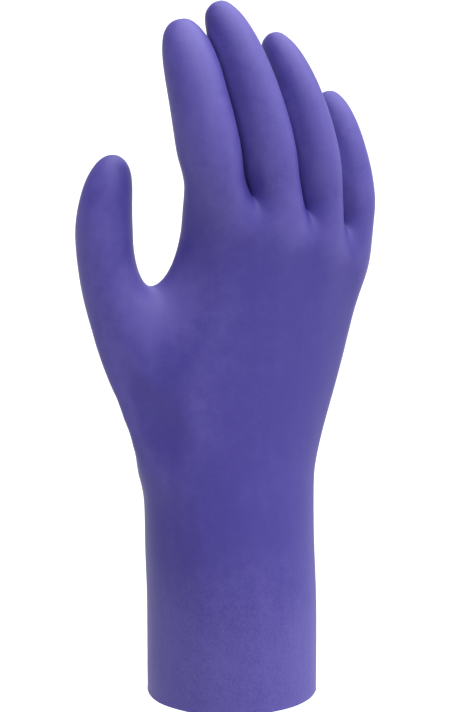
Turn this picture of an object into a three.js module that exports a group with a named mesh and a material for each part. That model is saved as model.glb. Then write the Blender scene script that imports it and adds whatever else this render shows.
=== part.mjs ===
// Nitrile exam glove with a long cuff, in the rounded form that it has when worn on a right hand.
// Millimetres. +Z runs from the cuff's rim to the fingertips, -Y is the back of the hand, -X the thumb side.
// The origin is the centre of the wrist opening. The real glove is one dipped film, so it is one solid.
// A cage of four-sided faces is laid through the sections of the tables below, rounded once by
// Catmull-Clark subdivision, and given its thickness inwards, so every finger is hollow to its tip.
import * as THREE from "three";

// Film
const wall = 1;

// Cuff, from the rim to the wrist, outside sizes
const cuffLength = 87;
const cuffWidth = 72.5;
const cuffDepth = 69;

// Palm, from the wrist to the knuckle line, outside sizes
const palmLength = 121;
const palmWidth = 90;
const palmDepth = 28;
const palmLean = 16; // how far the knuckles lie towards the little finger from the cuff's axis
const palmLift = 16; // how far the knuckles lie towards the back of the hand from the cuff's axis
const palmArch = 11; // how far the sides of the knuckle line bow towards the palm
const knuckleDrop = 26; // how much lower the knuckle line ends on the little finger's side
const webRise = 10; // height of the webs between the fingers above the knuckle line
const webGroove = 0.15; // how much the skin sinks in below a web, as a share of the depth there

// Sections of cuff and palm, from the rim up. up is a height: 0 to 1 is the cuff and 1 to 2 the palm.
// cuff is how much of the cuff's own oval is left in the row, and the rest follows the palm's sizes:
// left, right, back and front are shares of half the palm's width and depth, where back is the back of the
// hand. curl moves the thumb's side towards the palm, as a share of the palm's depth. tilt is the share of
// the palm's lean, lift and arch that is reached, and oval the exponent of the section's oval.
const SECTIONS = [
  { up: 0, cuff: 1.02, left: 1, right: 1, back: 1, front: 1, curl: 0, tilt: 0, oval: 2 },
  { up: 0.25, cuff: 1, left: 1, right: 1, back: 1, front: 1, curl: 0, tilt: 0, oval: 2 },
  { up: 0.5, cuff: 0.97, left: 1, right: 0.7, back: 1, front: 1, curl: 0, tilt: 0, oval: 2 },
  { up: 0.75, cuff: 0.88, left: 1.12, right: 0.68, back: 0.9, front: 1.1, curl: 0, tilt: 0, oval: 2 },
  { up: 1, cuff: 0.72, left: 1.06, right: 0.78, back: 1, front: 1.25, curl: 0.03, tilt: 0.02, oval: 2 },
  { up: 1.11, cuff: 0.55, left: 1.16, right: 0.82, back: 1.12, front: 1.5, curl: 0.1, tilt: 0.08, oval: 2 },
  { up: 1.24, cuff: 0.36, left: 1.26, right: 0.87, back: 1.16, front: 1.65, curl: 0.22, tilt: 0.2, oval: 2.1 },
  { up: 1.41, cuff: 0.17, left: 1.27, right: 0.93, back: 1.14, front: 1.6, curl: 0.36, tilt: 0.38, oval: 2.2 },
  { up: 1.58, cuff: 0.05, left: 1.18, right: 0.96, back: 1.1, front: 1.4, curl: 0.4, tilt: 0.56, oval: 2.4 },
  { up: 1.765, cuff: 0, left: 0.99, right: 0.98, back: 1.04, front: 1.2, curl: 0.28, tilt: 0.75, oval: 2.8 },
  { up: 1.89, cuff: 0, left: 0.88, right: 1.01, back: 0.97, front: 1, curl: 0.1, tilt: 0.9, oval: 3.4 },
  { up: 2, cuff: 0, left: 0.95, right: 1.03, back: 0.93, front: 0.9, curl: 0, tilt: 1, oval: 4 },
];

// The columns of points across the back and the front of each section, as shares of its half width.
// The even ones end a finger and the odd ones run up the middle of a finger.
const COLUMNS = [-0.86, -0.66, -0.4, -0.13, 0.14, 0.36, 0.58, 0.76, 0.9];

// The rows of SECTIONS between which the thumb leaves the palm's side.
const THUMB_FOOT = 6;
const THUMB_CROTCH = 9;

// Fingers and thumb. length runs along the middle line from the knuckle line, or from the thumb's root.
// lean turns the digit towards the little finger and bend turns it towards the palm, in degrees, at its root
// and at its tip. roll turns its section about its length.
const INDEX = { length: 79, width: 25.6, depth: 25, lean: [-14, 4], bend: [-9, 38], roll: -19 };
const MIDDLE = { length: 90, width: 23, depth: 24, lean: [-5, -15], bend: [-2, 34], roll: -4 };
const RING = { length: 83, width: 19.6, depth: 22.5, lean: [0, -16], bend: [-6, 38], roll: 9 };
const LITTLE = { length: 63, width: 18.6, depth: 21, lean: [1, -9], bend: [-4, 34], roll: 20 };
const FINGERS = [INDEX, MIDDLE, RING, LITTLE];
const THUMB = { length: 86, width: 23.5, depth: 23.5, lean: [-33, 25.5], bend: [18, 0], roll: 0 };

// Rings along a digit: along is a share of its length, size a share of its width and depth, and
// own how much of the ring is the digit's own oval rather than the outline that it grows from.
const FINGER_RINGS = [
  { along: 0.14, size: 0.94, own: 0.9 },
  { along: 0.27, size: 1, own: 1 },
  { along: 0.43, size: 0.98, own: 1 },
  { along: 0.58, size: 0.93, own: 1 },
  { along: 0.71, size: 0.88, own: 1 },
  { along: 0.82, size: 0.8, own: 1 },
  { along: 0.91, size: 0.66, own: 1 },
  { along: 0.97, size: 0.44, own: 1 },
];
const THUMB_RINGS = [
  { along: 0.18, size: 1.2, own: 0.58 },
  { along: 0.32, size: 1.1, own: 0.95 },
  { along: 0.49, size: 1.02, own: 0.96 },
  { along: 0.64, size: 1, own: 1 },
  { along: 0.77, size: 0.92, own: 1 },
  { along: 0.87, size: 0.8, own: 1 },
  { along: 0.95, size: 0.58, own: 1 },
  { along: 0.985, size: 0.34, own: 1 },
];

const FILM_COLOUR = "#5a50a0";
const FIT_PASSES = 12; // rounds in which the cage is moved until the rounded skin runs through its sections
const THUMB_CORNERS = 0.3; // how far the corners of the thumb's opening are drawn in to its middle
const DROP_POWER = 1.6; // how late the knuckle line starts to drop
const GROOVE_POWER = 8; // how suddenly the grooves below the webs begin
const PATH_STEPS = 60; // steps along a digit's middle line
const TIP_SPREAD = 0.1; // distance between the middle points of the thumb's tip, as a share of its width

const cage = { points: [], quads: [] };

const { degToRad, lerp } = THREE.MathUtils;

// Adds points to the cage and returns their numbers.
function addPoints(points) {
  const first = cage.points.length;
  cage.points.push(...points);
  return points.map((_, i) => first + i);
}

function average(points) {
  const sum = points.reduce((total, p) => total.add(p), new THREE.Vector3());
  return sum.divideScalar(points.length);
}

// A point of a section, at a share across its half width. side is -1 on the back of the hand, 1 on the palm
// and 0 on the section's own edge. groove is the share of the depth that is missing at the knuckle line.
function sectionPoint(row, share, side, groove = 0) {
  const width = share < 0 ? row.left : row.right;
  const depth = side < 0 ? row.back : row.front;
  const palmUp = Math.max(row.up - 1, 0);
  const halfWidth = lerp((width * palmWidth) / 2, cuffWidth / 2, row.cuff);
  const halfDepth = lerp((depth * palmDepth) / 2, cuffDepth / 2, row.cuff);
  const bulge = (1 - Math.abs(share) ** row.oval) ** (1 / row.oval);
  const filled = 1 - groove * palmUp ** GROOVE_POWER;
  const bow = row.tilt * palmArch * share ** 2 + row.curl * palmDepth * Math.max(-share, 0) ** 2;
  const drop = knuckleDrop * palmUp * ((1 + share) / 2) ** DROP_POWER;
  return new THREE.Vector3(
    row.tilt * palmLean + share * halfWidth,
    side * halfDepth * bulge * filled - row.tilt * palmLift + bow,
    cuffLength * Math.min(row.up, 1) + palmLength * palmUp - drop,
  );
}

// One ring of the cage: the back from thumb side to little finger, the far edge, the palm, the near edge.
function sectionRing(row) {
  const grooveAt = (i) => (i % 2 === 0 && i > 0 && i < COLUMNS.length - 1 ? webGroove : 0);
  const face = (side) => COLUMNS.map((share, i) => sectionPoint(row, share, side, grooveAt(i)));
  return {
    back: addPoints(face(-1)),
    far: addPoints([sectionPoint(row, 1, 0)])[0],
    front: addPoints(face(1)),
    near: addPoints([sectionPoint(row, -1, 0)])[0],
  };
}

function loopOf(ring) {
  return [ring.near, ...ring.back, ring.far, ...ring.front.toReversed()];
}

// Faces between two loops of equal length, apart from those that start at a skipped place.
function bridge(lower, upper, skipped = []) {
  lower.forEach((start, i) => {
    const next = (i + 1) % lower.length;
    if (!skipped.includes(i)) cage.quads.push([start, lower[next], upper[next], upper[i]]);
  });
}

// Closes the loop at a digit's tip over a short row of middle points.
function closeTip(loop, middle) {
  const half = loop.length / 2;
  const spine = [loop[0], ...middle, loop[half]];
  const oneSide = loop.slice(1, half);
  const otherSide = loop.slice(half + 1).reverse();
  for (let i = 0; i < spine.length - 1; i++) {
    cage.quads.push([oneSide[i], oneSide[i + 1], spine[i + 1], spine[i]]);
    cage.quads.push([spine[i], spine[i + 1], otherSide[i + 1], otherSide[i]]);
  }
}

// The direction of a digit at a share of its length.
function heading(digit, along) {
  const lean = degToRad(lerp(digit.lean[0], digit.lean[1], along));
  const bend = degToRad(lerp(digit.bend[0], digit.bend[1], along));
  return new THREE.Vector3(Math.tan(lean), Math.tan(bend), 1).normalize();
}

// The middle line of a digit from its root to a share of its length.
function middleLine(digit, root, along) {
  const point = root.clone();
  for (let i = 0; i < PATH_STEPS; i++) {
    const here = (along * (i + 0.5)) / PATH_STEPS;
    point.addScaledVector(heading(digit, here), (along * digit.length) / PATH_STEPS);
  }
  return point;
}

// Grows a digit out of a loop of the cage. The loop's first point lies at startAngle of the digit's oval,
// counted from the side of the little finger towards the palm.
function growDigit(digit, rings, loop, startAngle) {
  const outline = loop.map((i) => cage.points[i]);
  const root = new THREE.Box3().setFromPoints(outline).getCenter(new THREE.Vector3());
  let below = loop;
  let across;
  for (const ring of rings) {
    const middle = middleLine(digit, root, ring.along);
    const along = heading(digit, ring.along);
    across = new THREE.Vector3(Math.cos(degToRad(digit.roll)), Math.sin(degToRad(digit.roll)), 0);
    across.addScaledVector(along, -across.dot(along)).normalize();
    const palmward = new THREE.Vector3().crossVectors(along, across);
    const points = outline.map((start, i) => {
      const angle = degToRad(startAngle + (360 * i) / outline.length);
      const own = middle
        .clone()
        .addScaledVector(across, (Math.cos(angle) * ring.size * digit.width) / 2)
        .addScaledVector(palmward, (Math.sin(angle) * ring.size * digit.depth) / 2);
      return start.clone().sub(root).add(middle).lerp(own, ring.own);
    });
    const above = addPoints(points);
    bridge(below, above);
    below = above;
  }
  const tip = middleLine(digit, root, 1);
  const middleCount = loop.length / 2 - 3;
  const spread = digit.width * TIP_SPREAD;
  const first = Math.cos(degToRad(startAngle));
  const middles = Array.from({ length: middleCount }, (_, i) => {
    const offset = middleCount === 1 ? 0 : first * spread * (0.5 - i / (middleCount - 1));
    return tip.clone().addScaledVector(across, offset);
  });
  closeTip(below, addPoints(middles));
}

// Catmull-Clark subdivision of a mesh of four-sided faces with one open edge. The first points of the
// result are the old ones, moved.
function subdivide({ points, quads }) {
  const faceMiddles = quads.map((quad) => average(quad.map((i) => points[i])));
  const edges = new Map();
  const around = points.map(() => ({ faces: [], edges: [], rim: [] }));
  quads.forEach((quad, face) => {
    quad.forEach((from, side) => {
      const to = quad[(side + 1) % 4];
      const key = from < to ? `${from} ${to}` : `${to} ${from}`;
      if (!edges.has(key)) edges.set(key, { ends: [from, to], faces: [] });
      edges.get(key).faces.push(face);
      around[from].faces.push(faceMiddles[face]);
    });
  });
  const edgePoints = [];
  let number = points.length + quads.length;
  for (const edge of edges.values()) {
    const [a, b] = edge.ends.map((i) => points[i]);
    const middle = average([a, b]);
    const open = edge.faces.length === 1;
    edgePoints.push(open ? middle : average([a, b, ...edge.faces.map((f) => faceMiddles[f])]));
    edge.number = number++;
    for (const end of edge.ends) (open ? around[end].rim : around[end].edges).push(middle);
  }
  const moved = points.map((point, i) => {
    const { faces, edges: spokes, rim } = around[i];
    if (rim.length) return average([point, average(rim)]);
    const n = spokes.length;
    return average(faces)
      .addScaledVector(average(spokes), 2)
      .addScaledVector(point, n - 3)
      .divideScalar(n);
  });
  const numberOf = (a, b) => edges.get(a < b ? `${a} ${b}` : `${b} ${a}`).number;
  const finer = quads.flatMap((quad, face) =>
    quad.map((corner, side) => [
      corner,
      numberOf(corner, quad[(side + 1) % 4]),
      points.length + face,
      numberOf(quad[(side + 3) % 4], corner),
    ]),
  );
  return { points: [...moved, ...faceMiddles, ...edgePoints], quads: finer };
}

// Moves the cage out until its rounded skin runs through the points that were laid out.
function fitted({ points, quads }) {
  const moved = points.map((point) => point.clone());
  for (let pass = 0; pass < FIT_PASSES; pass++) {
    const skin = subdivide({ points: moved, quads });
    moved.forEach((point, i) => point.add(points[i]).sub(skin.points[i]));
  }
  return { points: moved, quads };
}

// Leaves out the points that no face uses.
function compact({ points, quads }) {
  const used = [...new Set(quads.flat())];
  const place = new Map(used.map((old, i) => [old, i]));
  return { points: used.map((i) => points[i]), quads: quads.map((q) => q.map((i) => place.get(i))) };
}

// Two triangles for a face, split along its shorter diagonal.
function triangles([a, b, c, d], points) {
  const alongAC = points[a].distanceTo(points[c]) <= points[b].distanceTo(points[d]);
  return alongAC ? [a, b, c, a, c, d] : [b, c, d, b, d, a];
}

// Turns the outer skin into a film with an inner skin and a flat rim.
function thicken({ points, quads }, thickness) {
  const normals = points.map(() => new THREE.Vector3());
  const edges = new Set();
  for (const quad of quads) {
    const [a, b, c, d] = quad.map((i) => points[i]);
    const normal = new THREE.Vector3().crossVectors(c.clone().sub(a), d.clone().sub(b));
    quad.forEach((i) => normals[i].add(normal));
    quad.forEach((from, side) => edges.add(`${from} ${quad[(side + 1) % 4]}`));
  }
  const rim = [...edges].map((key) => key.split(" ").map(Number)).filter(([a, b]) => !edges.has(`${b} ${a}`));
  for (const i of rim.flat()) normals[i].z = 0;
  const inner = points.map((p, i) => p.clone().addScaledVector(normals[i].normalize(), -thickness));
  const count = points.length;
  const all = [...points, ...inner];
  const index = quads.flatMap((quad) => {
    const outside = triangles(quad, points);
    return [...outside, ...outside.map((i) => i + count).reverse()];
  });
  for (const [a, b] of rim) index.push(...triangles([b, a, a + count, b + count], all));
  const geometry = new THREE.BufferGeometry().setFromPoints(all);
  geometry.setIndex(index);
  geometry.computeVertexNormals();
  return geometry;
}

// Cuff and palm, with an opening left in the near side for the thumb
const rings = SECTIONS.map(sectionRing);

for (let i = 0; i < rings.length - 1; i++) {
  const [lower, upper] = [loopOf(rings[i]), loopOf(rings[i + 1])];
  const atThumb = i >= THUMB_FOOT && i < THUMB_CROTCH;
  bridge(lower, upper, atThumb ? [0, lower.length - 1] : []);
}

// Fingers, side by side on the knuckle line, each over two rows of faces
const knuckles = rings.at(-1);
const webs = FINGERS.slice(1).map((_, i) => {
  const ends = [knuckles.back[2 * i + 2], knuckles.front[2 * i + 2]].map((n) => cage.points[n]);
  const web = average(ends);
  web.z += webRise;
  return addPoints([web])[0];
});
FINGERS.forEach((finger, i) => {
  const near = i === 0 ? knuckles.near : webs[i - 1];
  const far = i === FINGERS.length - 1 ? knuckles.far : webs[i];
  const back = knuckles.back.slice(2 * i, 2 * i + 3);
  const front = knuckles.front.slice(2 * i, 2 * i + 3).reverse();
  growDigit(finger, FINGER_RINGS, [near, ...back, far, ...front], 180);
});

// Thumb, from the edge of its opening, starting at the crotch
const besideThumb = rings.slice(THUMB_FOOT, THUMB_CROTCH + 1);
const thumbLoop = [
  besideThumb.at(-1).near,
  ...besideThumb.map((ring) => ring.front[0]).reverse(),
  besideThumb[0].near,
  ...besideThumb.map((ring) => ring.back[0]),
];
const thumbRoot = average(thumbLoop.map((i) => cage.points[i]));
for (const ring of [besideThumb[0], besideThumb.at(-1)]) {
  for (const corner of [ring.front[0], ring.back[0]]) cage.points[corner].lerp(thumbRoot, THUMB_CORNERS);
}
growDigit(THUMB, THUMB_RINGS, thumbLoop, 0);

const film = new THREE.MeshStandardMaterial({ color: FILM_COLOUR, roughness: 0.5, metalness: 0 });
const glove = new THREE.Mesh(thicken(subdivide(fitted(compact(cage))), wall), film);
glove.name = "glove";

const part = new THREE.Group();
part.add(glove);

export default part;
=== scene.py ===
import math

import bmesh
import bpy
import numpy as np
from bpy.props import FloatProperty, FloatVectorProperty, IntProperty, PointerProperty
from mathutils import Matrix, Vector, noise
from mathutils.bvhtree import BVHTree


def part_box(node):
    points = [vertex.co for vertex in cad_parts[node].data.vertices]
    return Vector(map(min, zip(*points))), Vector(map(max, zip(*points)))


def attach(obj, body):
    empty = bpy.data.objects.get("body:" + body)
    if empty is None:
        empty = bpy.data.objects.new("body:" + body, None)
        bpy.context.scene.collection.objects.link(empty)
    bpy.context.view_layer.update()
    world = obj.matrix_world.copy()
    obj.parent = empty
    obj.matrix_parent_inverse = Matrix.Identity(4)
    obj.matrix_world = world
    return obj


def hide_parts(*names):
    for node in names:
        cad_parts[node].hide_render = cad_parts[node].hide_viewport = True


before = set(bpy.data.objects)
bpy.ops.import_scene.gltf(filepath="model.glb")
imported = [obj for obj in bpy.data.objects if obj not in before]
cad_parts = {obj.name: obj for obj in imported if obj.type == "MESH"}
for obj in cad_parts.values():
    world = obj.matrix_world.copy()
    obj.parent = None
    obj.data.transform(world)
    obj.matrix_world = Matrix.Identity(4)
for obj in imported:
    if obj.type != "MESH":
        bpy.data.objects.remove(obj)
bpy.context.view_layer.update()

WELD = 1e-5  # points of the solid that are closer than this are one
RIM_HEIGHT = 1e-5  # the solid's flat rim lies below this
SPARE_LENGTH = 0.006  # what is drawn out below the wrist, and cut off again once the skin is smooth
FIXED_BELOW = 0.0005  # smoothing leaves what lies below this alone
SMOOTH_IN = 0.5  # share of the way to the neighbours' mean in a smoothing step inwards
SMOOTH_OUT = -0.51  # and in the step outwards that follows it
RIM_STEPS = 8  # faces around the section of the rounded rim

# Where the skin is smoothed once more, at which radius this ends, and in how many rounds.
THUMB_CROTCH = {"at": (-0.037, 0.0, 0.171), "radius": 0.03, "rounds": 130}
EASED = (
    THUMB_CROTCH,
    {"at": (-0.027, -0.011, 0.212), "radius": 0.022, "rounds": 35},  # the root of the index finger
    {"at": (-0.003, -0.02, 0.211), "radius": 0.015, "rounds": 50},  # the three webs between the fingers
    {"at": (0.0235, -0.021, 0.203), "radius": 0.013, "rounds": 40},
    {"at": (0.0442, -0.018, 0.195), "radius": 0.013, "rounds": 40},
)
EASED_FULLY = 0.4  # share of the radius within which that smoothing is at its full strength

FINGERS_ABOVE = 0.195  # only above this are gaps between fingers narrowed
RAY_START = 0.00005  # how far off the skin the search for a facing finger starts
GAP_BLUR = 12  # rounds in which the narrowing is spread over the skin

# Shares of the glove's length. Each change runs softly from the first height to the second.
LOWER_CUFF_UP_TO = (0.05, 0.3)
WAVY_UP_TO = (0.2, 0.42)
TAUT_FROM = (0.2, 0.5)

CROTCH_STRETCH_AND_HIGHLIGHT = 1.6  # how pale the thumb's crotch is made, partly for its stretch and partly as a painted highlight, where 1 is a fingertip
CROTCH_REACH = 1.2  # how far this spreads, as a share of the radius that is smoothed there
TAUTEST = 0.97  # share of the points that bulge less than where the film counts as fully stretched
STRETCH_BLUR = 40  # rounds in which the stretch is spread over the skin
CUFF_WAVE_STRETCH = 0.35  # below 1, the waves of the cuff are longer upwards than around
WAVE_SEED = Vector((3.1, 7.7, 1.3))

# How strongly each pattern shows. cuff and dust_on_cuff come on top in the lower part of the cuff; cuff makes
# the film paler towards the rim.
PALENESS = {
    # The weight for the film's stretch also scales the painted highlight at the thumb's crotch.
    "base": 0.1, "stretch_and_painted_highlight": 0.5, "cloud": 0.5, "mottle": 0.5, "dust": 0.25, "streak": 0.2,
    "cuff": 0.6, "dust_on_cuff": 0.75,
}
ROUGHENING = {"mottle": 0.12, "dust": 0.1, "cuff": 0.05}
RELIEF = {"mottle": 0.6, "dust": 0.35, "streak": 0.25, "dust_on_cuff": 0.9}
STREAK_STRETCH = (1.0, 1.0, 9.0)  # the streaks run up the glove
NITRILE_IOR = 1.44
SHINE_TINT = (0.92, 0.87, 1.0, 1.0)

FLOOR_SIZE = 400.0
FLOOR_FACES = 8  # along each side of the floor
FLOOR_CLOUD = 0.4  # size of the floor's faint clouds
FLOOR_CLOUD_SHADE = 0.985  # brightness of the darker clouds, as a share of the floor's colour
CAMERA_REACH = 500.0  # how far the camera sees

bl_info = {
    "name": "Exam Glove",
    "version": (1, 0, 0),
    "blender": (4, 5, 0),
    "location": "View3D > Sidebar > Glove",
    "description": "Builds a long-cuffed nitrile exam glove in its worn form, and a plain studio around it",
    "category": "Object",
}


class FilmSizes(bpy.types.PropertyGroup):
    """Sizes of the film's mesh, its waves and its gaps."""

    rounding: IntProperty(
        name="Rounding levels",
        description="How many times the solid's outer faces are subdivided",
        default=2, min=0, max=3,
    )
    thickness: FloatProperty(
        name="Film thickness",
        description="Thickness of the film, drawn about three times as thick as the real one",
        default=0.0004, min=0.0002, max=0.001, precision=4, subtype="DISTANCE", unit="LENGTH",
    )
    rim_radius: FloatProperty(
        name="Rim radius",
        description="Radius of the rounded edge of the wrist opening",
        default=0.0003, min=0.0002, max=0.002, precision=4, subtype="DISTANCE", unit="LENGTH",
    )
    wave_depth: FloatProperty(
        name="Cuff wave depth",
        description="Depth of the shallow waves in the loose part of the cuff",
        default=0.0005, min=0.0, max=0.003, precision=4, subtype="DISTANCE", unit="LENGTH",
    )
    wave_length: FloatProperty(
        name="Cuff wave length",
        description="Distance between the shallow waves of the cuff",
        default=0.035, min=0.01, max=0.1, precision=3, subtype="DISTANCE", unit="LENGTH",
    )
    fit_passes: IntProperty(
        name="Fit passes",
        description="Rounds in which the skin is moved back onto the solid's points",
        default=1, min=0, max=20,
    )
    gap_reach: FloatProperty(
        name="Gap reach",
        description="Widest gap between two fingers that is narrowed where they lie side by side",
        default=0.004, min=0.0, max=0.01, precision=4, subtype="DISTANCE", unit="LENGTH",
    )
    gap_move: FloatProperty(
        name="Gap move",
        description="The most by which the skin moves to narrow such a gap",
        default=0.0012, min=0.0, max=0.003, precision=4, subtype="DISTANCE", unit="LENGTH",
    )
    gap_left: FloatProperty(
        name="Gap left",
        description="The gap that is always left between two fingers",
        default=0.0003, min=0.0, max=0.003, precision=4, subtype="DISTANCE", unit="LENGTH",
    )
    fine_passes: IntProperty(
        name="Fine passes",
        description="Rounds of smoothing afterwards, against the facets",
        default=30, min=0, max=100,
    )


class FilmLook(bpy.types.PropertyGroup):
    """Colours and grain of the film."""

    violet: FloatVectorProperty(
        name="Violet",
        description="Colour of the film where it lies slack",
        default=(0.031, 0.0225, 0.188), size=3, min=0.0, max=1.0, subtype="COLOR",
    )
    pale: FloatVectorProperty(
        name="Pale violet",
        description="Colour of the film where it is stretched or dusty",
        default=(0.073, 0.059, 0.26), size=3, min=0.0, max=1.0, subtype="COLOR",
    )
    roughness: FloatProperty(
        name="Roughness",
        description="Middle roughness of the satin film",
        default=0.55, min=0.1, max=1.0, subtype="FACTOR",
    )
    cloud_size: FloatProperty(
        name="Cloud size",
        description="Size of the large soft patches of colour",
        default=0.03, min=0.001, max=0.2, precision=4, subtype="DISTANCE", unit="LENGTH",
    )
    mottle_size: FloatProperty(
        name="Mottle size",
        description="Size of the mottle's spots",
        default=0.005, min=0.001, max=0.05, precision=4, subtype="DISTANCE", unit="LENGTH",
    )
    streak_size: FloatProperty(
        name="Streak size",
        description="Width of the faint upright streaks",
        default=0.004, min=0.001, max=0.05, precision=4, subtype="DISTANCE", unit="LENGTH",
    )
    dust_size: FloatProperty(
        name="Dust size",
        description="Size of the dusty grain, which shows most near the rim",
        default=0.0011, min=0.0001, max=0.01, precision=5, subtype="DISTANCE", unit="LENGTH",
    )
    relief_depth: FloatProperty(
        name="Relief depth",
        description="Depth of the shaded low relief",
        default=0.00025, min=0.0, max=0.002, precision=5, subtype="DISTANCE", unit="LENGTH",
    )
    relief_strength: FloatProperty(
        name="Relief strength",
        description="How strongly the low relief shades the film",
        default=0.5, min=0.0, max=1.0, subtype="FACTOR",
    )


class StudioSizes(bpy.types.PropertyGroup):
    """Camera, lights and floor."""

    azimuth: FloatProperty(
        name="Camera azimuth",
        description="Angle of the camera round the glove, from its back towards the little finger",
        default=math.radians(-32), subtype="ANGLE", unit="ROTATION",
    )
    elevation: FloatProperty(
        name="Camera elevation",
        description="Angle of the camera above the horizon",
        default=math.radians(11.5), subtype="ANGLE", unit="ROTATION",
    )
    distance: FloatProperty(
        name="Camera distance",
        description="Distance from the camera to the point that it looks at",
        default=1.1, min=0.3, max=5.0, subtype="DISTANCE", unit="LENGTH",
    )
    lens: FloatProperty(
        name="Focal length",
        description="Focal length, in millimetres over a 36 mm sensor",
        default=134.0, min=20.0, max=300.0,
    )
    target: FloatVectorProperty(
        name="Camera target",
        description="The point that the camera looks at",
        default=(-0.002, 0.0013, 0.1445), size=3, subtype="XYZ", unit="LENGTH",
    )
    floor_depth: FloatProperty(
        name="Floor depth",
        description="How far the floor lies below the rim of the glove, which is held up",
        default=0.25, min=0.0, max=1.0, subtype="DISTANCE", unit="LENGTH",
    )
    key_strength: FloatProperty(
        name="Key light",
        description="Strength of the broad soft light from the upper right, in watts per square metre",
        default=6.0, min=0.0, max=50.0,
    )
    key_angle: FloatProperty(
        name="Key light breadth",
        description="Angle over which the broad light is spread",
        default=math.radians(90), min=0.0, max=math.radians(180), subtype="ANGLE", unit="ROTATION",
    )
    key_side: FloatVectorProperty(
        name="Key light side",
        description="Where the broad light comes from: to the camera's right, upwards and towards the camera",
        default=(0.3, 1.0, 0.25), size=3, subtype="XYZ",
    )
    sky_strength: FloatProperty(
        name="Surrounding light",
        description="Strength of the soft white light from all sides",
        default=0.6, min=0.0, max=5.0,
    )
    sky_least: FloatProperty(
        name="Least surrounding light",
        description="Strength below which that light never falls",
        default=0.25, min=0.0, max=5.0,
    )
    sky_side: FloatVectorProperty(
        name="Surrounding light's side",
        description="Where that light is strongest: to the camera's right, upwards and towards the camera",
        default=(1.0, 0.4, -0.4), size=3, subtype="XYZ",
    )
    sky_lean: FloatProperty(
        name="Surrounding light's lean",
        description="How much stronger that light is from its side, and weaker from the opposite side",
        default=0.6, min=0.0, max=5.0,
    )
    floor_colour: FloatVectorProperty(
        name="Floor colour",
        description="Colour of the plain floor, which the light brings to white",
        default=(0.5, 0.5, 0.5), size=3, min=0.0, max=1.0, subtype="COLOR",
    )


class Term:
    """A socket of a material's node tree. Arithmetic on it adds Math nodes, and add() any other node."""

    def __init__(self, tree, socket=None):
        self.tree = tree
        self.socket = socket

    def add(self, kind, settings=None, inputs=None, output=0):
        """Adds a node, applies its settings, then fills its inputs with values or links."""
        node = self.tree.nodes.new(kind)
        for name, value in (settings or {}).items():
            setattr(node, name, value)
        for name, value in (inputs or {}).items():
            target = node.inputs[name]
            if isinstance(value, Term):
                self.tree.links.new(value.socket, target)
            else:
                target.default_value = value
        return Term(self.tree, node.outputs[output])

    def math(self, operation, first, second=0.0):
        """Adds a Math node for two values or Terms."""
        return self.add("ShaderNodeMath", {"operation": operation}, {0: first, 1: second})

    def __add__(self, other):
        return self.math("ADD", self, other)

    __radd__ = __add__

    def __sub__(self, other):
        return self.math("SUBTRACT", self, other)

    def __rsub__(self, other):
        return self.math("SUBTRACT", other, self)

    def __mul__(self, other):
        return self.math("MULTIPLY", self, other)

    def ramp(self, low, high):
        """0 below low and 1 above high, with a soft step between."""
        settings = {"interpolation_type": "SMOOTHSTEP"}
        return self.add("ShaderNodeMapRange", settings, {"Value": self, "From Min": low, "From Max": high})


def start_material(name):
    """A new node material: itself, a Term to add nodes with, and its output node."""
    material = bpy.data.materials.new(name)
    material.use_nodes = True
    tree = material.node_tree
    tree.nodes.clear()
    output = tree.nodes.new("ShaderNodeOutputMaterial")
    return material, Term(tree), output


def grain(graph, place, size, detail=2.0, roughness=0.5, stretch=(1.0, 1.0, 1.0)):
    """Even noise from 0 to 1 whose grains are about size metres across."""
    scaled = graph.add(
        "ShaderNodeVectorMath", {"operation": "MULTIPLY"}, {0: place, 1: tuple(1.0 / s for s in stretch)}
    )
    inputs = {"Vector": scaled, "Scale": 1.0 / size, "Detail": detail, "Roughness": roughness}
    return graph.add("ShaderNodeTexNoise", {"noise_dimensions": "3D"}, inputs)


def film_material(look, length):
    """Satin nitrile: mottled violet, finely grained, paler where the film is taut and towards the rim, with a
    painted highlight at the thumb's crotch.
    """
    material, graph, output = start_material("nitrile_film")
    place = graph.add("ShaderNodeTexCoord", output=3)
    height = graph.add("ShaderNodeSeparateXYZ", inputs={"Vector": place}, output=2)
    # The stretch attribute: pale where the film bulges and is taut, plus a painted highlight at the thumb's
    # crotch.
    stretch_and_painted_highlight = graph.add("ShaderNodeAttribute", {"attribute_name": "stretch"}, output=2)

    low, high = LOWER_CUFF_UP_TO
    on_cuff = 1 - height.ramp(low * length, high * length)
    cloud = grain(graph, place, look.cloud_size, detail=3.0) - 0.5
    mottle = grain(graph, place, look.mottle_size, detail=3.0, roughness=0.6) - 0.5
    dust = grain(graph, place, look.dust_size, roughness=0.7) - 0.5
    streak = grain(graph, place, look.streak_size, stretch=STREAK_STRETCH) - 0.5

    share = PALENESS
    pale = stretch_and_painted_highlight * share["stretch_and_painted_highlight"] + cloud * share["cloud"] + mottle * share["mottle"]
    pale = pale + dust * (share["dust"] + on_cuff * share["dust_on_cuff"]) + streak * share["streak"]
    # The film is made paler towards the rim.
    pale = pale + on_cuff * share["cuff"] + share["base"]
    colour = graph.add(
        "ShaderNodeMix",
        {"data_type": "RGBA"},
        {"Factor": pale.ramp(0.0, 1.0), 6: (*look.violet, 1.0), 7: (*look.pale, 1.0)},
        output=2,
    )
    share = ROUGHENING
    roughness = mottle * share["mottle"] + dust * share["dust"] + on_cuff * share["cuff"] + look.roughness

    share = RELIEF
    relief = dust * (share["dust"] + on_cuff * share["dust_on_cuff"])
    relief = relief + mottle * share["mottle"] + streak * share["streak"]
    inputs = {"Strength": look.relief_strength, "Distance": look.relief_depth, "Height": relief}
    surface = graph.add(
        "ShaderNodeBsdfPrincipled",
        inputs={
            "Base Color": colour,
            "Roughness": roughness,
            "Normal": graph.add("ShaderNodeBump", inputs=inputs),
            "IOR": NITRILE_IOR,
            "Specular Tint": SHINE_TINT,
        },
    )
    graph.tree.links.new(surface.socket, output.inputs["Surface"])
    return material


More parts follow.
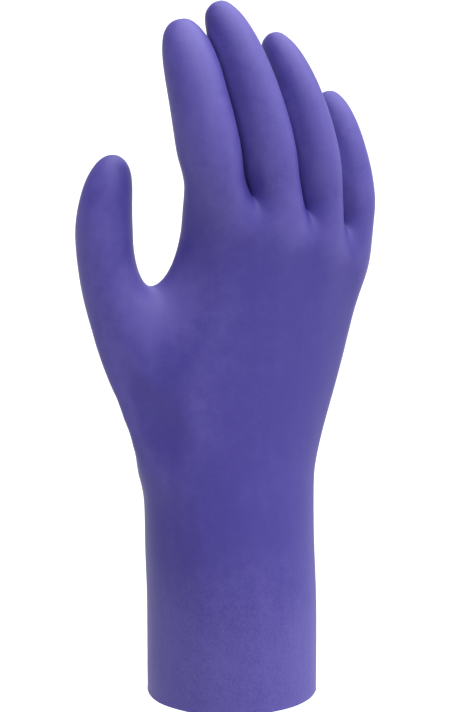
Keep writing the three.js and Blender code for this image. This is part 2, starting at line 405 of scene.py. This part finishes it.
def floor_material(studio):
    """Matt floor with barely visible clouds, which the light brings to white."""
    material, graph, output = start_material("pale_floor")
    place = graph.add("ShaderNodeTexCoord", output=3)
    cloud = grain(graph, place, FLOOR_CLOUD)
    lighter = (*studio.floor_colour, 1.0)
    darker = (*(FLOOR_CLOUD_SHADE * c for c in studio.floor_colour), 1.0)
    inputs = {"Factor": cloud, 6: lighter, 7: darker}
    colour = graph.add("ShaderNodeMix", {"data_type": "RGBA"}, inputs, output=2)
    surface = graph.add("ShaderNodeBsdfPrincipled", inputs={"Base Color": colour, "Roughness": 0.9})
    graph.tree.links.new(surface.socket, output.inputs["Surface"])
    return material


def outer_skin(node):
    """The outer skin of the solid glove in four-sided faces, drawn out a little below the wrist."""
    skin = bmesh.new()
    skin.from_mesh(node.data)
    bmesh.ops.remove_doubles(skin, verts=skin.verts, dist=WELD)
    rim = [face for face in skin.faces if all(vert.co.z < RIM_HEIGHT for vert in face.verts)]
    bmesh.ops.delete(skin, geom=rim, context="FACES")

    outermost = min(skin.verts, key=lambda vert: vert.co.x)
    outer = {outermost}
    front = [outermost]
    while front:
        near = {edge.other_vert(vert) for vert in front for edge in vert.link_edges} - outer
        outer |= near
        front = list(near)
    bmesh.ops.delete(skin, geom=[vert for vert in skin.verts if vert not in outer], context="VERTS")
    bmesh.ops.join_triangles(
        skin, faces=skin.faces, angle_face_threshold=math.pi, angle_shape_threshold=math.pi
    )
    open_edges = [edge for edge in skin.edges if edge.is_boundary]
    for part in bmesh.ops.extrude_edge_only(skin, edges=open_edges)["geom"]:
        if isinstance(part, bmesh.types.BMVert):
            part.co.z -= SPARE_LENGTH
    mesh = bpy.data.meshes.new("skin")
    skin.to_mesh(mesh)
    skin.free()
    return mesh


def mesh_arrays(mesh):
    """Points and edges of a mesh as arrays."""
    points = np.empty(len(mesh.vertices) * 3)
    mesh.vertices.foreach_get("co", points)
    edges = np.empty(len(mesh.edges) * 2, np.int32)
    mesh.edges.foreach_get("vertices", edges)
    return points.reshape(-1, 3), edges.reshape(-1, 2)


def neighbour_counts(points, edges):
    """How many neighbours each point has, as a column."""
    return np.bincount(edges.ravel(), minlength=len(points)).astype(float)[:, None]


def neighbour_mean(values, edges, counts):
    """The mean of each point's neighbours."""
    total = np.zeros_like(values)
    np.add.at(total, edges[:, 0], values[edges[:, 1]])
    np.add.at(total, edges[:, 1], values[edges[:, 0]])
    return total / counts


def relax(mesh, passes):
    """Smooths the skin by alternate steps in and out, which keeps the fingers from shrinking."""
    points, edges = mesh_arrays(mesh)
    counts = neighbour_counts(points, edges)
    free = (points[:, 2] > FIXED_BELOW).astype(float)[:, None]
    for _ in range(passes):
        for step in (SMOOTH_IN, SMOOTH_OUT):
            points = points + step * free * (neighbour_mean(points, edges, counts) - points)
    set_points(mesh, points)


def rounded(mesh, levels):
    """A copy of the mesh, subdivided and rounded. Its first points are the mesh's own, moved."""
    holder = bpy.data.objects.new("skin", mesh)
    bpy.context.scene.collection.objects.link(holder)
    finer = holder.modifiers.new("rounding", "SUBSURF")
    finer.levels = levels
    evaluated = holder.evaluated_get(bpy.context.evaluated_depsgraph_get())
    result = bpy.data.meshes.new_from_object(evaluated)
    bpy.data.objects.remove(holder)
    return result


def fitted_skin(cage, sizes):
    """The smooth skin that runs close to the points of a coarse one."""
    aims, _ = mesh_arrays(cage)
    moved = aims.copy()
    for step in range(sizes.fit_passes + 1):
        set_points(cage, moved)
        skin = rounded(cage, sizes.rounding)
        relax(skin, sizes.fine_passes)
        if step < sizes.fit_passes:
            points, _ = mesh_arrays(skin)
            moved += aims - points[: len(aims)]
            bpy.data.meshes.remove(skin)
    bpy.data.meshes.remove(cage)
    return skin


def ease(mesh, place):
    """Smooths the skin around a place, fading out at its radius."""
    points, edges = mesh_arrays(mesh)
    counts = neighbour_counts(points, edges)
    far = np.linalg.norm(points - np.array(place["at"]), axis=1)
    share = 1.0 - soft_step(far, EASED_FULLY * place["radius"], place["radius"])[:, None]
    for _ in range(place["rounds"]):
        points = points + SMOOTH_IN * share * (neighbour_mean(points, edges, counts) - points)
    set_points(mesh, points)


def close_gaps(mesh, sizes):
    """Narrows the gaps between fingers that lie side by side, as a worn glove's fingers press together."""
    points, edges = mesh_arrays(mesh)
    normals = point_normals(mesh)
    tree = BVHTree.FromPolygons(points.tolist(), [tuple(face.vertices) for face in mesh.polygons])
    room = np.full(len(points), sizes.gap_move)
    move = np.zeros(len(points))
    for i in np.flatnonzero(points[:, 2] > FINGERS_ABOVE):
        outward = Vector(normals[i])
        _, facing, _, gap = tree.ray_cast(Vector(points[i]) + outward * RAY_START, outward, sizes.gap_reach)
        if facing is not None and facing.dot(outward) < 0.0:
            room[i] = np.clip((gap - sizes.gap_left) / 2, 0.0, sizes.gap_move)
            move[i] = room[i]
    counts = neighbour_counts(points, edges)[:, 0]
    for _ in range(GAP_BLUR):
        move = np.minimum((move + neighbour_mean(move, edges, counts)) / 2, room)
    set_points(mesh, points + normals * move[:, None])


def soft_step(value, low, high):
    """0 below low and 1 above high, with a soft step between."""
    t = np.clip((value - low) / (high - low), 0.0, 1.0)
    return t * t * (3.0 - 2.0 * t)


def waves(points, sizes, length):
    """Shallow upright waves in the loose cuff, as a distance outwards for each point."""
    low, high = WAVY_UP_TO
    loose = 1.0 - soft_step(points[:, 2], low * length, high * length)
    depth = np.zeros(len(points))
    for i in np.flatnonzero(loose > 0.0):
        x, y, z = points[i]
        around = Vector((x, y, z * CUFF_WAVE_STRETCH)) / sizes.wave_length
        depth[i] = noise.noise(around + WAVE_SEED)
    return depth * loose * sizes.wave_depth


def point_normals(mesh):
    """The normals of a mesh's points as an array."""
    normals = np.empty(len(mesh.vertices) * 3)
    mesh.vertices.foreach_get("normal", normals)
    return normals.reshape(-1, 3)


def set_points(mesh, points):
    """Moves a mesh's points to those of an array."""
    mesh.vertices.foreach_set("co", points.ravel())
    mesh.update()


def cut_at(mesh, height):
    """Takes away what lies below a height, and returns the cut's points in order around the opening."""
    skin = bmesh.new()
    skin.from_mesh(mesh)
    everything = skin.verts[:] + skin.edges[:] + skin.faces[:]
    bmesh.ops.bisect_plane(
        skin, geom=everything, plane_co=(0.0, 0.0, height), plane_no=(0.0, 0.0, 1.0), clear_inner=True
    )
    skin.verts.index_update()
    border = {vert for edge in skin.edges if edge.is_boundary for vert in edge.verts}
    vert = min(border, key=lambda v: v.index)
    loop = [vert]
    while True:
        onward = [
            edge.other_vert(vert)
            for edge in vert.link_edges
            if edge.is_boundary and edge.other_vert(vert) not in loop[-2:]
        ]
        vert = onward[0]
        if vert is loop[0]:
            break
        loop.append(vert)
    numbers = [v.index for v in loop]
    skin.to_mesh(mesh)
    skin.free()
    mesh.update()
    return numbers


def as_film(mesh, loop, sizes):
    """Turns the outer skin into a film with an inner skin and a rounded rim around the opening."""
    points, _ = mesh_arrays(mesh)
    count = len(points)
    normals = point_normals(mesh)
    inner = points - normals * sizes.thickness
    inner[loop, 2] = points[loop, 2]
    outward = normals[loop] * (1.0, 1.0, 0.0)
    outward /= np.linalg.norm(outward, axis=1, keepdims=True)
    down = np.array((0.0, 0.0, -1.0))
    middle = points[loop] - outward * sizes.thickness / 2 + down * sizes.rim_radius
    start = math.pi / 2 - math.asin(sizes.thickness / 2 / sizes.rim_radius)
    rows = []
    for step in range(1, RIM_STEPS):
        angle = start - step * (math.pi + 2.0 * start) / RIM_STEPS
        rows.append(middle + sizes.rim_radius * (math.cos(angle) * outward - math.sin(angle) * down))

    outside = [tuple(face.vertices) for face in mesh.polygons]
    inside = [tuple(count + i for i in reversed(face)) for face in outside]
    size = len(loop)
    rings = [loop]
    rings += [[2 * count + row * size + i for i in range(size)] for row in range(len(rows))]
    rings.append([count + i for i in loop])
    rim = []
    for upper, lower in zip(rings, rings[1:]):
        for i in range(size):
            after = (i + 1) % size
            rim.append((upper[i], upper[after], lower[after], lower[i]))
    film = bpy.data.meshes.new("film")
    film.from_pydata(np.vstack([points, inner, *rows]).tolist(), [], outside + inside + rim)
    bent = bmesh.new()
    bent.from_mesh(film)
    bmesh.ops.recalc_face_normals(bent, faces=bent.faces)
    bent.to_mesh(film)
    bent.free()
    film.shade_smooth()
    return film


def add_stretch_and_highlight(mesh, length):
    """Stores the film's stretch, most where it bulges, and adds a painted highlight at the thumb's crotch."""
    points, edges = mesh_arrays(mesh)
    counts = neighbour_counts(points, edges)
    normals = point_normals(mesh)
    bulge = np.sum((points - neighbour_mean(points, edges, counts)) * normals, axis=1)[:, None]
    for _ in range(STRETCH_BLUR):
        bulge = (bulge + neighbour_mean(bulge, edges, counts)) / 2
    stretch = soft_step(bulge[:, 0], 0.0, np.quantile(bulge, TAUTEST))
    low, high = TAUT_FROM
    stretch *= soft_step(points[:, 2], low * length, high * length)
    # The thumb's crotch is made paler still: partly its stretch, partly a painted highlight.
    far = np.linalg.norm(points - np.array(THUMB_CROTCH["at"]), axis=1)
    around = 1.0 - soft_step(far, 0.0, CROTCH_REACH * THUMB_CROTCH["radius"])
    stretch = np.maximum(stretch, CROTCH_STRETCH_AND_HIGHLIGHT * around)
    mesh.attributes.new("stretch", "FLOAT", "POINT").data.foreach_set("value", stretch)


def along(axes, shares):
    """The direction that goes the given shares along three axes."""
    return sum((axis * share for axis, share in zip(axes, shares)), Vector())


class GLOVE_OT_film(bpy.types.Operator):
    """Build the glove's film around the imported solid"""

    bl_idname = "glove.film"
    bl_label = "Film"

    def execute(self, context):
        sizes = context.scene.film_sizes
        low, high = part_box("glove")
        length = high.z - low.z
        skin = fitted_skin(outer_skin(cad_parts["glove"]), sizes)
        if not skin.polygons:
            raise RuntimeError("the skin of the glove came out empty")
        for place in EASED:
            ease(skin, place)
        close_gaps(skin, sizes)
        points, _ = mesh_arrays(skin)
        set_points(skin, points + point_normals(skin) * waves(points, sizes, length)[:, None])
        loop = cut_at(skin, low.z + 2.0 * sizes.rim_radius)
        mesh = as_film(skin, loop, sizes)
        bpy.data.meshes.remove(skin)
        add_stretch_and_highlight(mesh, length)

        film = bpy.data.objects.new("glove_film", mesh)
        context.scene.collection.objects.link(film)
        mesh.materials.append(film_material(context.scene.film_look, length))
        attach(film, "root")
        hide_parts("glove")
        return {"FINISHED"}


class GLOVE_OT_stage(bpy.types.Operator):
    """Set up the pale floor, the soft light and the camera"""

    bl_idname = "glove.stage"
    bl_label = "Stage"

    def execute(self, context):
        studio = context.scene.studio_sizes
        target = Vector(studio.target)
        level = math.cos(studio.elevation)
        toward = Vector((
            math.sin(studio.azimuth) * level,
            -math.cos(studio.azimuth) * level,
            math.sin(studio.elevation),
        ))
        right = Vector((math.cos(studio.azimuth), math.sin(studio.azimuth), 0.0))
        axes = (right, toward.cross(right), toward)

        camera = bpy.data.cameras.new("camera")
        camera.lens = studio.lens
        camera.clip_end = CAMERA_REACH
        holder = bpy.data.objects.new("camera", camera)
        holder.location = target + toward * studio.distance
        holder.rotation_euler = toward.to_track_quat("Z", "Y").to_euler()
        context.scene.collection.objects.link(holder)
        context.scene.camera = holder

        sun = bpy.data.lights.new("key", "SUN")
        sun.energy = studio.key_strength
        sun.angle = studio.key_angle
        key = bpy.data.objects.new("key", sun)
        key.rotation_euler = along(axes, studio.key_side).to_track_quat("Z", "Y").to_euler()
        context.scene.collection.objects.link(key)

        context.scene.view_settings.view_transform = "Standard"
        world = bpy.data.worlds.new("surroundings")
        context.scene.world = world
        world.use_nodes = True
        graph = Term(world.node_tree)
        direction = graph.add("ShaderNodeTexCoord", output=0)
        side = along(axes, studio.sky_side).normalized()
        lean = graph.add(
            "ShaderNodeVectorMath", {"operation": "DOT_PRODUCT"}, {0: direction, 1: side}, output=1
        )
        strength = graph.math("MAXIMUM", lean * studio.sky_lean + studio.sky_strength, studio.sky_least)
        sky = world.node_tree.nodes["Background"]
        sky.inputs["Color"].default_value = (1.0, 1.0, 1.0, 1.0)
        world.node_tree.links.new(strength.socket, sky.inputs["Strength"])

        faces = {"x_subdivisions": FLOOR_FACES, "y_subdivisions": FLOOR_FACES}
        bpy.ops.mesh.primitive_grid_add(**faces, size=FLOOR_SIZE)
        floor = context.object
        floor.name = "floor"
        floor.location.z = -studio.floor_depth
        floor.data.materials.append(floor_material(studio))
        return {"FINISHED"}


class GLOVE_PT_panel(bpy.types.Panel):
    """Sizes, colours and pieces of the glove"""

    bl_idname = "GLOVE_PT_panel"
    bl_label = "Exam Glove"
    bl_space_type = "VIEW_3D"
    bl_region_type = "UI"
    bl_category = "Glove"

    def draw(self, context):
        layout = self.layout
        for name in GROUPS:
            group = getattr(context.scene, name)
            box = layout.box()
            for prop in group.bl_rna.properties:
                if prop.identifier not in ("name", "rna_type"):
                    box.prop(group, prop.identifier)
        for operator in (GLOVE_OT_film, GLOVE_OT_stage):
            layout.operator(operator.bl_idname)


GROUPS = {"film_sizes": FilmSizes, "film_look": FilmLook, "studio_sizes": StudioSizes}
CLASSES = (*GROUPS.values(), GLOVE_OT_film, GLOVE_OT_stage, GLOVE_PT_panel)


def register():
    for item in CLASSES:
        bpy.utils.register_class(item)
    for name, group in GROUPS.items():
        setattr(bpy.types.Scene, name, PointerProperty(type=group))


def unregister():
    for name in GROUPS:
        delattr(bpy.types.Scene, name)
    for item in reversed(CLASSES):
        bpy.utils.unregister_class(item)


def main():
    register()
    bpy.ops.glove.film()
    bpy.ops.glove.stage()


if __name__ == "__main__":
    main()
